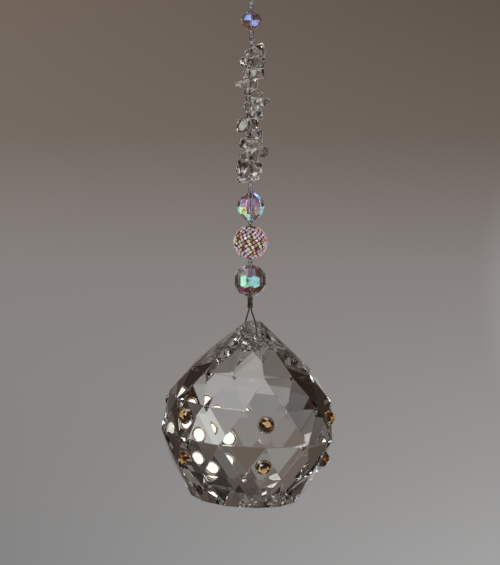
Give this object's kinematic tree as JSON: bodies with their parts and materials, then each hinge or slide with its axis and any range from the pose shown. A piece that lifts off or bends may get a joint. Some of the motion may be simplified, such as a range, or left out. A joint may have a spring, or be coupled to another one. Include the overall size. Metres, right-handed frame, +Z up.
{
  "type": "crystal suncatcher",
  "caption": "Faceted clear crystal ball with glued amber stones, hung on a wire strand of aurora beads, a pave ball and rough quartz chips, with a wire hanging loop.",
  "frame": {"origin": "the point under the top of the wire hanging loop, where a hook or thread bears", "axes": "+Z up along the hanging strand, -Y the front, +X to the right seen from the front"},
  "size_m": [0.0407, 0.0413, 0.14],
  "materials": {
    "lead_crystal": "polished clear crystal, flat facets with crisp edges",
    "topaz_stone": "foil-backed amber rhinestone, small polished facets",
    "beading_wire": "thin dull steel wire, slightly warm",
    "crimp_metal": "silver-coloured crimp tubes, soft shine",
    "aurora_glass": "clear faceted glass with an iridescent vapour coat, violet, green and amber glints",
    "pave_body": "close-set small iridescent rhinestones in a pale rose ground",
    "seed_glass": "silver-lined seed beads, pale lilac sheen",
    "rock_crystal": "rough tumbled clear quartz chips, grey-clear with small inclusions"
  },
  "bodies": {
    "root": {"crystal_ball": "lead_crystal", "upper_stone_1": "topaz_stone", "upper_stone_2": "topaz_stone", "upper_stone_3": "topaz_stone", "upper_stone_4": "topaz_stone", "upper_stone_5": "topaz_stone", "upper_stone_6": "topaz_stone", "lower_stone_1": "topaz_stone", "lower_stone_2": "topaz_stone", "lower_stone_3": "topaz_stone", "lower_stone_4": "topaz_stone", "lower_stone_5": "topaz_stone", "lower_stone_6": "topaz_stone", "hanging_wire": "beading_wire", "ball_crimp_lower": "crimp_metal", "ball_crimp_upper": "crimp_metal", "loop_crimp_lower": "crimp_metal", "loop_crimp_upper": "crimp_metal", "large_aurora_bead": "aurora_glass", "middle_aurora_bead": "aurora_glass", "small_aurora_bead": "aurora_glass", "pave_ball": "pave_body", "seed_bead_01": "seed_glass", "seed_bead_02": "seed_glass", "seed_bead_03": "seed_glass", "seed_bead_04": "seed_glass", "seed_bead_05": "seed_glass", "seed_bead_06": "seed_glass", "seed_bead_07": "seed_glass", "seed_bead_08": "seed_glass", "seed_bead_09": "seed_glass", "seed_bead_10": "seed_glass", "seed_bead_11": "seed_glass", "seed_bead_12": "seed_glass", "seed_bead_13": "seed_glass", "seed_bead_14": "seed_glass", "quartz_chip_01": "rock_crystal", "quartz_chip_02": "rock_crystal", "quartz_chip_03": "rock_crystal", "quartz_chip_04": "rock_crystal", "quartz_chip_05": "rock_crystal", "quartz_chip_06": "rock_crystal", "quartz_chip_07": "rock_crystal", "quartz_chip_08": "rock_crystal", "quartz_chip_09": "rock_crystal", "quartz_chip_10": "rock_crystal", "quartz_chip_11": "rock_crystal", "quartz_chip_12": "rock_crystal", "quartz_chip_13": "rock_crystal", "quartz_chip_14": "rock_crystal", "quartz_chip_15": "rock_crystal"}
  },
  "joints": []
}
